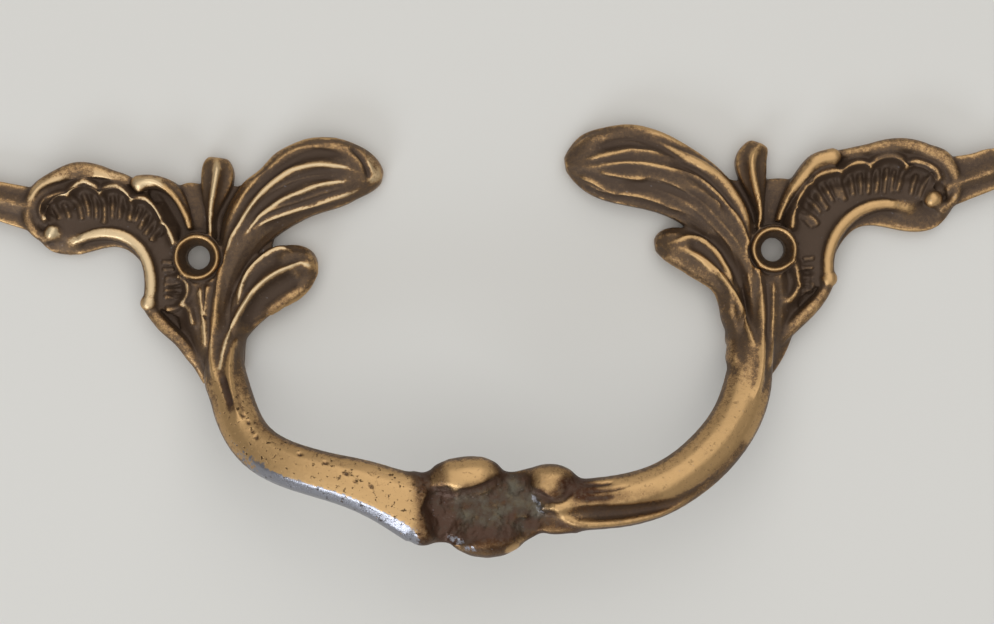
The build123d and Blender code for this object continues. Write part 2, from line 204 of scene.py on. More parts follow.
def addKnotBody(made):
    outline = np.array(knotLook["outline"])
    along = np.roll(outline, -1, 0) - np.roll(outline, 1, 0)
    inward = np.stack([along[:, 1], -along[:, 0]], 1) / np.linalg.norm(along, axis=1)[:, None]
    rings = []
    for i in range(-knotLook["levels"], knotLook["levels"] + 1):
        angle = math.pi / 2 * i / knotLook["closing"]
        level = knotLook["middle"] + (knotLook["rise"] if i > 0 else knotLook["drop"]) * math.sin(angle)
        ring = outline + inward * knotLook["round"] * (1 - math.cos(angle))
        rings.append([made.verts.new((x * mm, y * mm, level * mm)) for x, y in ring])
    for low, high in zip(rings, rings[1:]):
        for i in range(len(low)):
            made.faces.new((low[i - 1], high[i - 1], high[i], low[i]))
    made.faces.new(rings[-1])
    made.faces.new(rings[0][::-1])


def settle(piece):
    graph = bpy.context.evaluated_depsgraph_get()
    mesh = bpy.data.meshes.new_from_object(piece.evaluated_get(graph))
    piece.modifiers.clear()
    piece.data = mesh


def remeshed(piece, grain):
    step = piece.modifiers.new("skin", "REMESH")
    step.mode = "VOXEL"
    step.voxel_size = grain * mm
    settle(piece)


def pointsOf(mesh):
    flat = np.zeros(len(mesh.vertices) * 3, np.float32)
    mesh.vertices.foreach_get("co", flat)
    return flat.reshape(-1, 3).astype(float)


def normalsOf(mesh):
    flat = np.zeros(len(mesh.vertices) * 3, np.float32)
    mesh.vertex_normals.foreach_get("vector", flat)
    return flat.reshape(-1, 3).astype(float)


def edgesOf(mesh):
    flat = np.zeros(len(mesh.edges) * 2, np.int32)
    mesh.edges.foreach_get("vertices", flat)
    return flat.reshape(-1, 2)


def putPoints(mesh, points):
    mesh.vertices.foreach_set("co", points.astype(np.float32).ravel())
    mesh.update()


# each pass moves the values by a share of the way to the mean of their neighbours
def relaxed(values, edges, passes, *shares, among=None):
    shares = [np.broadcast_to(np.asarray(share, float), len(values)) for share in shares]
    moved = shares[0] != 0
    near = edges[moved[edges[:, 0]] | moved[edges[:, 1]]]
    if among is not None:
        near = near[among[near[:, 0]] & among[near[:, 1]]]
    ids, places = np.unique(near, return_inverse=True)
    a, b = places.reshape(-1, 2).T
    ways = np.bincount(a, minlength=len(ids)) + np.bincount(b, minlength=len(ids))
    result = values.copy()
    for column in range(values.shape[1]):
        part = values[ids, column]
        for i in range(passes):
            for share in shares:
                mean = (np.bincount(a, part[b], len(ids)) + np.bincount(b, part[a], len(ids))) / ways
                part = part + (mean - part) * share[ids]
        result[ids, column] = part
    return result


def within(points, outline):
    x, y = points[:, 0] / mm, points[:, 1] / mm
    inside = np.zeros(len(points), bool)
    for (x1, y1), (x2, y2) in zip(outline, outline[1:] + outline[:1]):
        crosses = (y1 > y) != (y2 > y)
        inside ^= crosses & (x < (x2 - x1) * (y - y1) / (y2 - y1 + 1e-12) + x1)
    return inside


def lineDistance(x, y, line):
    least = np.full(len(x), 1e9)
    for (x1, y1), (x2, y2) in zip(line, line[1:]):
        acrossX, acrossY = x2 - x1, y2 - y1
        share = ((x - x1) * acrossX + (y - y1) * acrossY) / (acrossX ** 2 + acrossY ** 2)
        share = np.clip(share, 0, 1)
        least = np.minimum(least, np.hypot(x - x1 - share * acrossX, y - y1 - share * acrossY))
    return least


def ramp(values, low, high):
    share = np.clip((values - low) / (high - low), 0, 1)
    return share * share * (3 - 2 * share)


pull = skinOf("pull", "pullCasting")
remeshed(pull, casting["grain"])
points, edges = pointsOf(pull.data), edgesOf(pull.data)
flatBack = points[:, 2] < casting["backLevel"] * mm
points = relaxed(points, edges, casting["soften"], halfWay)
points[flatBack, 2] = 0
for place, reach, shift in nudges:
    near = ramp(np.linalg.norm(points[:, :2] / mm - place, axis=1), reach, 0)
    points[:, :2] += near[:, None] * np.array(shift) * mm
putPoints(pull.data, points)

facing = normalsOf(pull.data)[:, 2]
lowest, highest = casting["padLevels"]
for passes, steepest, outline in pads.values():
    onPad = within(points, outline) & (facing > steepest)
    onPad &= (points[:, 2] > lowest * mm) & (points[:, 2] < highest * mm)
    points[:, 2:] = relaxed(points[:, 2:], edges, passes, onPad * halfWay, among=facing > steepest - 0.1)
for line in gapLines:
    gap = ramp(lineDistance(*points[:, :2].T / mm, line), *casting["gapReach"])
    gap = gap * (facing > casting["gapFacing"])
    fill = gap * ramp(points[:, 2] / mm, *casting["gapLevels"]) * casting["gapFill"]
    points[:, 2] += fill * mm * ~flatBack
    points = relaxed(points, edges, casting["gapPasses"], gap * mostWay * ~flatBack)

# the ring bosses fall away outside a thin crest
for x in casting["ringPlaces"]:
    out = np.hypot(points[:, 0] / mm - x, points[:, 1] / mm)
    fall = casting["ringFall"] * np.maximum((out - casting["ringCrest"]) / casting["ringSlope"], 0) ** 2
    top = (casting["ringTop"] - np.minimum(fall, casting["ringDrop"])) * mm
    ring = (out < casting["ringOuter"]) & (points[:, 2] > casting["ringFoot"] * mm)
    points[ring, 2] = np.minimum(points[ring, 2], top[ring])

# the bars lose their facets and the knot melts; each pass swells back, so that they keep their size
high = ramp(points[:, 2] / mm, *casting["barLevels"])
points = relaxed(points, edges, casting["barPasses"], high * mostWay, high * -casting["barBack"])
away = (points / mm - knotLook["meltPlace"]) / knotLook["meltSize"]
melt = ramp(np.linalg.norm(away, axis=1), *knotLook["meltEdge"])
points = relaxed(points, edges, knotLook["meltPasses"], melt * mostWay, melt * -knotLook["meltBack"])
for (x, y), reach, passes, back in softSpots:
    out = np.hypot(points[:, 0] / mm - x, points[:, 1] / mm - y)
    spot = ramp(out, reach, reach * casting["spotFull"]) * ~flatBack
    points = relaxed(points, edges, passes, spot * mostWay, spot * -back)
putPoints(pull.data, points)

# the field of the knot is laid smooth and sunk between the swellings
facing = normalsOf(pull.data)[:, 2]
inField = within(points, knotLook["field"]) & (facing > 0)
inField &= points[:, 2] > knotLook["fieldLevel"] * mm
points[:, 2:] = relaxed(points[:, 2:], edges, knotLook["fieldPasses"], inField * halfWay, among=facing > 0)
field = relaxed(inField.astype(float)[:, None], edges, knotLook["edgePasses"], halfWay)[:, 0]
points[:, 2] -= field * knotLook["sink"] * mm
putPoints(pull.data, points)
print("stage: casting softened,", len(points), "points")


lips = [  # the scalloped edges of the shells
    [(-73.4, 6.9), (-73.7, 8.2), (-73.2, 9.6), (-72.0, 10.4), (-70.7, 10.8), (-69.7, 10.9)],
    [(-69.7, 10.9), (-68.7, 11.8), (-67.7, 12.5), (-66.7, 12.8), (-65.7, 12.4), (-64.8, 11.8),
     (-64.2, 11.1)],
    [(-64.2, 11.1), (-63.3, 11.7), (-62.3, 12.0), (-61.3, 12.0), (-60.4, 11.5), (-59.5, 10.7),
     (-59.0, 10.0)],
    [(-59.0, 9.9), (-57.7, 10.0), (-56.5, 9.8), (-55.6, 9.1), (-54.7, 8.0), (-54.1, 6.8), (-53.9, 6.1)],
    [(-53.9, 6.1), (-53.3, 5.3), (-52.8, 4.4), (-52.3, 3.4), (-52.0, 2.6)],
    [(-50.9, -3.3), (-50.1, -3.9), (-49.8, -4.9), (-49.9, -5.9), (-50.3, -6.9), (-50.6, -7.6)],
    [(-50.6, -7.6), (-50.0, -8.1), (-49.5, -8.9), (-49.2, -10.1), (-49.0, -10.8)],
    [(70.5, 13.9), (71.7, 14.2), (72.8, 14.0), (74.0, 13.5), (75.0, 12.7), (75.5, 11.5)],
    [(64.5, 14.0), (65.5, 14.8), (66.7, 15.2), (67.9, 15.3), (69.2, 14.9), (70.0, 14.2), (70.5, 13.6)],
    [(59.7, 12.9), (60.9, 13.7), (62.0, 14.1), (63.2, 14.1), (64.2, 13.7)],
    [(54.5, 11.3), (55.5, 11.9), (56.8, 12.5), (58.3, 12.8), (59.7, 12.9)],
    [(51.9, 7.3), (52.6, 8.5), (53.5, 9.8), (54.5, 11.3)],
    [(51.2, 3.8), (51.4, 5.5), (51.9, 7.3)],
    [(51.5, -2.2), (52.0, -3.8), (52.2, -5.3), (51.9, -6.7), (51.4, -7.6), (50.6, -8.5)]]

# chased lines: each set is drawn on the casting by one tree, raised or sunk, with a soft or a sharp crest
lineSets = {
    "rimCrest": {"width": 0.8, "height": 0.35, "sharp": 0.5, "fade": 0.15, "lean": 0.0, "lines": [
        [(-75.5, 9.5), (-75.2, 10.7), (-74.0, 12.1), (-72.7, 12.8), (-70.6, 13.3), (-68.0, 13.7),
         (-64.8, 13.9), (-62.2, 13.5), (-60.5, 12.9)],
        [(-58.0, 12.4), (-55.9, 12.9), (-53.8, 12.1), (-51.7, 10.3), (-50.2, 7.9), (-49.2, 5.5),
         (-49.0, 4.4)]]},
    "shellHollow": {"width": 2.0, "height": -0.8, "sharp": 0.0, "fade": 0.02, "lean": -0.1, "lines": [
        [(-72.4, 7.2), (-71.2, 8.9), (-69.2, 9.2), (-67.0, 10.6), (-64.4, 9.8), (-61.8, 10.2),
         (-59.2, 8.6), (-57.2, 8.2), (-55.4, 6.0), (-54.0, 3.6)],
        [(-51.6, -4.4), (-51.4, -5.6), (-51.8, -6.8)],
        [(74.0, 11.4), (72.0, 12.4), (70.0, 12.2), (67.6, 13.2), (64.4, 12.2), (62.2, 12.4),
         (59.6, 11.4), (56.4, 10.8), (54.0, 8.4), (52.8, 5.8)],
        [(53.2, -3.4), (53.4, -5.0), (53.0, -6.4)]]},
    "shellSwell": {"width": 2.0, "height": 0.6, "sharp": 0.0, "fade": 0.0, "lean": -0.6, "upright": 1.0,
                   "lines": lips},
    "shellLip": {"width": 1.15, "height": 0.8, "sharp": 0.0, "fade": 0.0, "lean": -0.6, "upright": 1.0,
                 "lines": lips},
    "shellDivider": {"width": 0.95, "height": 0.65, "sharp": 0.1, "fade": 0.1, "lean": -0.6, "upright": 1.0,
                     "lines": [
        [(-69.7, 10.8), (-68.7, 10.0), (-67.9, 9.0), (-67.4, 7.8), (-67.1, 6.3)],
        [(-64.2, 11.1), (-63.7, 9.9), (-63.4, 8.4), (-63.4, 6.8), (-63.6, 5.6)],
        [(-59.1, 9.9), (-58.9, 8.9), (-59.1, 7.7), (-59.3, 6.0)],
        [(-54.0, 6.1), (-54.5, 5.0), (-55.2, 3.7), (-55.8, 2.7)],
        [(-53.6, -3.5), (-52.3, -3.4), (-50.9, -3.2)],
        [(-53.7, -8.6), (-51.8, -8.4), (-50.5, -7.7)],
        [(70.5, 13.6), (69.7, 12.4), (69.2, 10.9), (68.6, 9.1)],
        [(64.5, 13.8), (64.2, 12.2), (64.0, 10.5), (63.8, 8.8)],
        [(59.7, 12.9), (59.2, 11.4), (59.5, 9.7), (60.1, 7.7)],
        [(54.5, 11.3), (55.2, 9.8), (56.1, 8.1), (57.3, 6.3)],
        [(52.0, 7.3), (53.3, 6.1), (54.6, 5.0), (55.7, 3.8)],
        [(51.9, -6.0), (53.4, -5.9), (54.9, -5.9)]]},
    "shellFlute": {"width": 0.8, "height": 0.5, "sharp": 0.0, "fade": 0.2, "lean": -0.6, "upright": 1.0,
                   "lines": [
        [(-72.1, 9.4), (-71.5, 7.9), (-70.8, 6.4)], [(-70.6, 9.7), (-69.8, 8.2), (-69.1, 6.5)],
        [(-67.4, 11.5), (-66.4, 9.3), (-66.0, 6.3)], [(-65.7, 11.1), (-64.9, 8.8), (-64.8, 6.1)],
        [(-62.3, 11.1), (-62.1, 8.9), (-62.2, 6.1)], [(-60.8, 10.9), (-60.8, 8.7), (-61.0, 6.1)],
        [(-57.3, 9.0), (-57.8, 7.4), (-58.5, 5.7)], [(-56.1, 8.0), (-57.0, 6.2), (-57.8, 4.5)],
        [(-55.0, 6.8), (-55.8, 5.3), (-57.0, 3.5)], [(-54.2, -0.7), (-53.2, -0.8), (-52.0, -0.9)],
        [(-54.1, -2.0), (-53.0, -2.0), (-51.7, -1.9)], [(-54.0, -4.5), (-52.5, -4.4), (-50.9, -4.2)],
        [(-54.0, -5.5), (-52.5, -5.4), (-50.6, -5.3)], [(-54.0, -6.6), (-52.5, -6.5), (-50.7, -6.5)],
        [(72.4, 12.6), (71.5, 10.7), (71.0, 8.4)], [(74.1, 12.2), (73.0, 10.2), (72.2, 8.1)],
        [(65.9, 13.6), (65.5, 11.3), (65.2, 8.7)], [(67.4, 14.0), (66.9, 11.3), (66.5, 8.6)],
        [(68.9, 13.6), (68.0, 11.3), (67.7, 8.6)], [(61.1, 12.7), (61.2, 10.5), (61.5, 8.4)],
        [(62.7, 13.0), (62.7, 10.7), (62.7, 8.5)], [(56.2, 11.4), (57.2, 9.4), (58.3, 7.4)],
        [(57.9, 11.9), (58.5, 9.9), (59.2, 7.9)], [(53.3, 9.0), (54.7, 7.5), (56.3, 5.8)],
        [(52.1, 5.8), (53.5, 4.8), (54.9, 3.3)], [(52.7, -1.7), (53.9, -1.6), (55.0, -1.5)],
        [(52.5, -3.2), (53.7, -3.2), (54.8, -3.2)], [(52.8, -4.8), (53.8, -4.8), (54.8, -4.9)],
        [(52.5, -7.0), (53.6, -6.9), (54.8, -6.9)]]},
    "leafHollow": {"width": 1.9, "height": -0.55, "sharp": 0.0, "fade": 0.2, "lean": 0.3, "lines": [
        [(-41.0, 8.1), (-39.5, 9.9), (-37.7, 11.7), (-35.6, 13.5), (-33.3, 15.1), (-30.9, 16.4),
         (-28.6, 17.0), (-26.3, 17.0), (-24.0, 16.3), (-22.0, 15.3)],
        [(-39.7, 5.1), (-38.4, 7.0), (-36.5, 9.0), (-34.5, 10.6), (-32.3, 11.9), (-30.0, 12.9),
         (-27.7, 13.4), (-25.3, 13.3), (-23.0, 13.0)],
        [(-39.9, -6.6), (-39.2, -4.6), (-38.2, -2.9), (-36.8, -1.6), (-35.2, -0.6), (-33.5, -0.2)],
        [(41.5, 5.8), (39.9, 8.0), (37.8, 10.1), (35.5, 12.0), (32.8, 13.7), (30.5, 14.7)],
        [(34.2, 15.0), (31.2, 16.9), (28.4, 18.1), (25.9, 18.6), (22.9, 18.5), (20.3, 17.8),
         (17.9, 16.9)],
        [(38.2, 7.5), (35.8, 8.5), (32.5, 9.4), (29.1, 10.4), (25.8, 10.8), (22.5, 11.2)],
        [(39.6, -4.3), (38.3, -2.0), (36.8, -0.3), (35.2, 0.8), (33.3, 1.1)],
        [(42.7, -6.4), (41.6, -3.4), (40.1, -0.9), (38.5, 1.0), (36.7, 2.4)]]},
    "leafCup": {"width": 2.6, "height": -1.0, "sharp": 0.0, "fade": 0.15, "lean": 0.1, "lines": [
        [(-40.0, -12.5), (-39.3, -10.6), (-38.1, -8.6), (-36.6, -6.8), (-34.6, -5.3), (-32.6, -4.2),
         (-31.1, -3.4)]]},
    "leafRib": {"width": 1.05, "height": 0.55, "sharp": 1.0, "fade": 0.2, "lean": 0.1, "lines": [
        [(28.2, 18.6), (32.7, 15.8), (36.7, 13.7), (39.2, 11.9), (41.7, 8.6), (43.1, 5.6), (44.1, 2.1)],
        [(15.6, 12.8), (18.1, 11.7), (20.6, 10.3), (23.6, 9.4)],
        [(-43.7, -0.9), (-43.0, 1.1), (-42.2, 3.1), (-41.0, 5.0), (-39.6, 7.3), (-38.1, 9.3),
         (-36.2, 11.3), (-34.2, 12.9), (-32.1, 14.2), (-29.9, 14.8), (-27.6, 15.1), (-25.2, 14.9),
         (-23.1, 14.6), (-21.1, 13.9)],
        [(-39.8, 3.6), (-38.4, 5.5), (-37.0, 7.0), (-35.6, 8.0), (-34.0, 9.1), (-32.3, 9.9),
         (-30.4, 10.6), (-28.6, 11.3), (-26.9, 11.8), (-25.0, 12.1), (-23.1, 12.3)],
        [(-38.4, 4.6), (-37.0, 5.5), (-35.3, 6.3), (-33.6, 6.9), (-31.5, 7.6), (-29.3, 8.2),
         (-27.3, 8.8), (-25.2, 9.5), (-23.0, 10.1), (-21.3, 10.7)],
        [(-41.3, -7.9), (-41.1, -6.6), (-40.6, -4.7), (-39.8, -2.9), (-38.6, -1.3), (-37.1, 0.0),
         (-35.4, 1.0), (-33.9, 1.4), (-32.4, 0.9)],
        [(-44.0, -18.5), (-43.6, -15.8), (-43.1, -13.8), (-42.2, -11.4), (-41.2, -9.5), (-40.2, -7.9),
         (-38.8, -5.9), (-37.1, -4.3), (-34.9, -2.8), (-32.8, -1.9), (-30.8, -1.2), (-29.5, -1.6)],
        [(30.3, 15.5), (29.2, 16.0), (27.5, 16.4), (25.9, 16.6), (24.2, 16.7), (22.5, 16.4),
         (20.5, 16.1), (18.5, 15.7), (16.5, 15.4)],
        [(45.0, -2.1), (44.2, -0.1), (43.2, 2.4), (41.9, 4.9), (40.1, 7.4), (38.2, 9.6), (36.1, 11.4),
         (34.1, 12.5), (31.6, 13.3), (29.1, 14.0), (26.6, 14.5), (24.2, 14.7), (21.7, 14.6),
         (19.2, 14.3), (16.7, 13.9)],
        [(27.4, 12.1), (25.0, 12.2), (22.8, 12.5), (20.8, 12.9), (18.8, 13.3)],
        [(34.0, 6.0), (31.0, 7.4), (28.2, 8.6), (25.7, 9.3), (23.8, 9.6), (21.6, 9.9), (19.6, 10.4),
         (17.5, 11.3), (15.5, 12.2)],
        [(41.3, -6.4), (40.5, -4.2), (39.5, -2.2), (38.4, -0.4), (36.9, 1.1), (35.6, 1.9), (33.9, 2.2),
         (32.3, 1.8), (30.6, 1.2)],
        [(44.8, -17.0), (43.8, -14.7), (43.2, -12.5), (42.6, -10.2), (41.6, -8.0), (40.5, -6.2),
         (39.2, -4.4), (37.5, -2.7), (35.9, -1.4), (34.2, -0.4), (32.3, 0.4)]]},
    "leafRoll": {"width": 2.0, "height": 0.5, "sharp": 0.0, "fade": 0.14, "lean": 0.0, "lines": [
        [(-44.6, 2.5), (-43.7, 4.6), (-42.7, 6.9), (-41.5, 8.9), (-40.2, 10.7), (-38.6, 12.4),
         (-36.6, 14.2), (-34.4, 16.0), (-31.9, 17.5), (-29.6, 18.6), (-27.3, 18.9), (-24.9, 18.6),
         (-22.8, 17.6), (-20.8, 16.3), (-19.5, 14.9), (-18.9, 13.4)],
        [(-30.8, 0.5), (-29.5, -1.1), (-28.9, -2.6), (-29.4, -4.4), (-30.8, -6.0), (-32.6, -7.3),
         (-34.9, -8.7), (-37.3, -10.1)],
        [(44.3, 1.6), (43.7, 3.9), (42.9, 6.1), (41.9, 8.3), (40.6, 10.4), (39.0, 12.3), (36.8, 14.2),
         (34.5, 15.7), (32.2, 17.2), (29.9, 18.6), (27.6, 19.5), (25.3, 20.0), (22.6, 19.9),
         (20.0, 19.2), (17.6, 18.2), (15.6, 16.9), (14.4, 15.5)],
        [(40.6, -12.0), (40.0, -9.8), (38.9, -7.7), (37.4, -5.7), (35.6, -4.1), (33.6, -2.7),
         (31.6, -1.4), (30.0, -0.2), (29.2, 0.8)]]},
    "leafVein": {"width": 0.45, "height": 0.2, "sharp": 0.3, "fade": 0.3, "lean": 0.2, "lines": [
        [(-43.1, 4.4), (-41.2, 8.5), (-39.1, 11.7), (-35.1, 15.3), (-31.9, 17.5), (-29.1, 18.2),
         (-25.0, 17.7), (-21.8, 16.5)],
        [(-37.5, 8.9), (-34.7, 11.1), (-31.0, 12.7), (-27.4, 13.3), (-23.2, 13.3)],
        [(-38.5, 6.1), (-34.8, 7.9), (-30.6, 9.2), (-26.5, 10.5), (-22.3, 11.4)],
        [(25.1, 12.9), (30.1, 11.6), (35.1, 8.7), (39.1, 4.6), (42.1, 0.6), (43.6, -4.0)],
        [(24.1, 11.4), (29.6, 9.8), (34.1, 7.5), (38.1, 3.7), (40.6, 0.6), (42.4, -4.5)],
        [(20.2, 17.9), (24.2, 18.2), (27.7, 17.4)],
        [(30.7, 14.8), (35.2, 12.5), (38.7, 9.4), (41.6, 5.6)]]},
    "legFill": {"width": 2.0, "height": 0.8, "sharp": 0.0, "fade": 0.35, "lean": -1.2, "lines": [
        [(40.0, -13.2), (40.3, -15.4), (40.4, -17.6), (40.6, -20.0)]]},
    "lobeNotch": {"width": 0.7, "height": -0.9, "sharp": 0.2, "fade": 0.35, "lean": 0.0, "lines": [
        [(-56.1, 11.5), (-55.3, 10.5), (-54.1, 8.8)]]},
    "leafFold": {"width": 0.8, "height": -0.6, "sharp": 0.3, "fade": 0.2, "lean": 0.0, "lines": [
        [(-22.5, 18.0), (-21.2, 17.1), (-20.2, 15.8), (-19.5, 14.1), (-19.1, 12.5)]]},
    "stemRib": {"width": 1.3, "height": 0.7, "sharp": 0.7, "fade": 0.12, "lean": 0.0, "lines": [
        [(-47.7, -4.7), (-47.4, -7.1), (-47.0, -10.1), (-46.7, -13.0), (-46.5, -15.4)],
        [(-46.1, -4.5), (-46.4, -7.2), (-46.9, -10.1)],
        [(-43.7, -0.9), (-44.2, -3.9), (-44.8, -7.2), (-45.1, -10.5), (-45.4, -13.8), (-45.4, -15.8),
         (-45.1, -18.1), (-44.5, -20.8)],
        [(-41.5, -13.0), (-42.2, -15.5), (-42.4, -18.1), (-42.0, -21.5), (-41.2, -24.6),
         (-39.9, -27.1)],
        [(45.0, -2.1), (45.4, -5.1), (45.7, -8.4), (45.8, -11.7), (45.6, -15.1), (45.4, -17.7),
         (44.7, -21.5), (43.4, -25.0)],
        [(47.8, -4.8), (47.7, -8.5), (47.5, -11.8), (47.1, -15.1), (46.6, -17.7), (46.2, -20.5)]]},
    "budRib": {"width": 1.5, "height": 0.3, "sharp": 0.6, "fade": 0.1, "lean": 0.1, "lines": [
        [(-45.4, 3.1), (-45.5, 5.8), (-45.6, 8.1), (-45.3, 10.3), (-44.9, 12.4), (-44.6, 14.4),
         (-44.4, 15.7)],
        [(45.6, 3.9), (45.4, 7.4), (45.0, 9.9), (44.5, 12.2), (44.4, 14.0), (44.6, 15.3),
         (45.5, 16.5)]]},
    "barNeck": {"width": 3.0, "height": -0.5, "sharp": 0.0, "fade": 0.5, "lean": 0.0, "lines": [
        [(10.6, -38.6), (12.4, -39.3), (14.4, -40.2), (17.0, -40.8), (20.0, -40.9), (23.5, -40.4)]]},
    "barHollow": {"width": 1.6, "height": -0.45, "sharp": 0.0, "fade": 0.3, "lean": 0.1, "lines": [
        [(12.6, -39.6), (13.8, -41.0), (16.2, -41.9), (19.2, -42.1), (24.7, -41.7), (30.3, -40.7),
         (34.7, -38.6), (39.1, -35.3), (41.4, -32.1)]]},
    "barPit": {"width": 1.0, "height": -0.5, "sharp": 0.0, "fade": 0.2, "lean": 0.1, "lines": [
        [(-43.6, -19.4), (-43.0, -21.2), (-42.2, -23.2), (-41.6, -24.7)]]},
    "barRib": {"width": 1.4, "height": 1.0, "sharp": 0.1, "fade": 0.3, "lean": -0.4, "upright": 1.0,
               "lines": [
        [(10.2, -38.6), (10.5, -40.1), (11.1, -41.6), (12.1, -42.7), (13.3, -43.4), (14.8, -43.8),
         (19.2, -43.9), (24.7, -43.2), (30.2, -42.0), (34.0, -40.2)]]},
    "barScratch": {"width": 0.5, "height": -0.22, "sharp": 0.2, "fade": 0.25, "lean": 0.2, "lines": [
        [(14.3, -38.6), (17.0, -38.6), (19.7, -38.4), (22.9, -37.6)],
        [(15.2, -39.8), (17.8, -39.7), (20.6, -39.4)],
        [(14.9, -37.5), (17.6, -37.5), (20.4, -37.2)]]},
    "barDent": {"width": 0.45, "height": -0.3, "sharp": 0.0, "fade": 0.01, "lean": 0.1, "lines": [
        [(-40.0, -25.8), (-39.6, -26.1)], [(-39.0, -26.8), (-38.7, -27.3)],
        [(-38.2, -28.4), (-37.9, -28.7)],
        [(-37.4, -29.2), (-37.3, -29.7)], [(-30.4, -32.1), (-29.9, -32.2)],
        [(-26.2, -33.4), (-25.7, -33.6)],
        [(-21.5, -36.4), (-21.1, -36.6)], [(-18.8, -37.1), (-18.5, -37.6)],
        [(-23.0, -35.1), (-22.3, -35.3)]]},
    "knotHollow": {"width": 2.4, "height": -0.35, "sharp": 0.0, "fade": 0.3, "lean": 0.0, "lines": [
        [(-7.9, -38.7), (-8.6, -41.2), (-8.2, -43.8), (-7.5, -45.6)]]},
    "knotWrinkle": {"width": 0.8, "height": 0.3, "sharp": 0.1, "fade": 0.3, "lean": 0.0, "lines": [
        [(-6.6, -44.6), (-5.5, -45.3), (-4.7, -46.4)], [(-6.7, -45.9), (-5.8, -46.5), (-4.7, -47.4)],
        [(3.7, -42.7), (5.2, -42.4), (6.8, -42.9)]]},
    "knotCrease": {"width": 1.0, "height": -0.5, "sharp": 0.2, "fade": 0.3, "lean": -0.2, "lines": [
        [(-5.6, -38.2), (-3.6, -38.4), (-1.4, -37.9), (0.6, -37.0), (2.0, -36.0)],
        [(7.4, -37.8), (8.5, -39.3), (10.4, -39.9), (12.4, -39.2), (13.2, -37.4)]]},
}


chasing = {
    "step": 0.15,     # mm between the points of a drawn line
    "ends": -0.01,    # below nothing, so that a line without a fade has its full strength at its ends
    "turn": 0.35,     # how soon a line dies out where the skin turns away
}


def drawnLines(name, lines):
    curve = bpy.data.curves.new(name, "CURVE")
    curve.dimensions = "3D"
    for line in lines:
        spline = curve.splines.new("BEZIER")
        spline.bezier_points.add(len(line) - 1)
        for knot, (x, y) in zip(spline.bezier_points, line):
            knot.co = (x * mm, y * mm, 0)
            knot.handle_left_type = knot.handle_right_type = "AUTO"
    drawn = bpy.data.objects.new(name, curve)
    bpy.context.scene.collection.objects.link(drawn)
    return drawn


def newTree(name, inputs):
    tree = bpy.data.node_groups.new(name, "GeometryNodeTree")
    face = tree.interface
    face.new_socket("Geometry", in_out="INPUT", socket_type="NodeSocketGeometry")
    for label, kind in inputs:
        face.new_socket(label, in_out="INPUT", socket_type="NodeSocket" + kind)
    face.new_socket("Finish", in_out="INPUT", socket_type="NodeSocketMaterial")
    face.new_socket("Geometry", in_out="OUTPUT", socket_type="NodeSocketGeometry")

    def node(kind, **values):
        made = tree.nodes.new(kind)
        for key, value in values.items():
            setattr(made, key, value)
        return made

    return tree, node, tree.links.new


# moves the skin by an amount along a direction, and gives it its finish
def pushedSkin(node, link, given, amount, direction):
    push = node("ShaderNodeVectorMath", operation="SCALE")
    link(direction, push.inputs[0])
    link(amount, push.inputs["Scale"])
    move = node("GeometryNodeSetPosition")
    link(given.outputs["Geometry"], move.inputs["Geometry"])
    link(push.outputs[0], move.inputs["Offset"])
    whole = node("GeometryNodeRealizeInstances")
    link(move.outputs["Geometry"], whole.inputs["Geometry"])
    finish = node("GeometryNodeSetMaterial")
    link(whole.outputs["Geometry"], finish.inputs["Geometry"])
    link(given.outputs["Finish"], finish.inputs["Material"])
    link(finish.outputs["Geometry"], node("NodeGroupOutput").inputs["Geometry"])


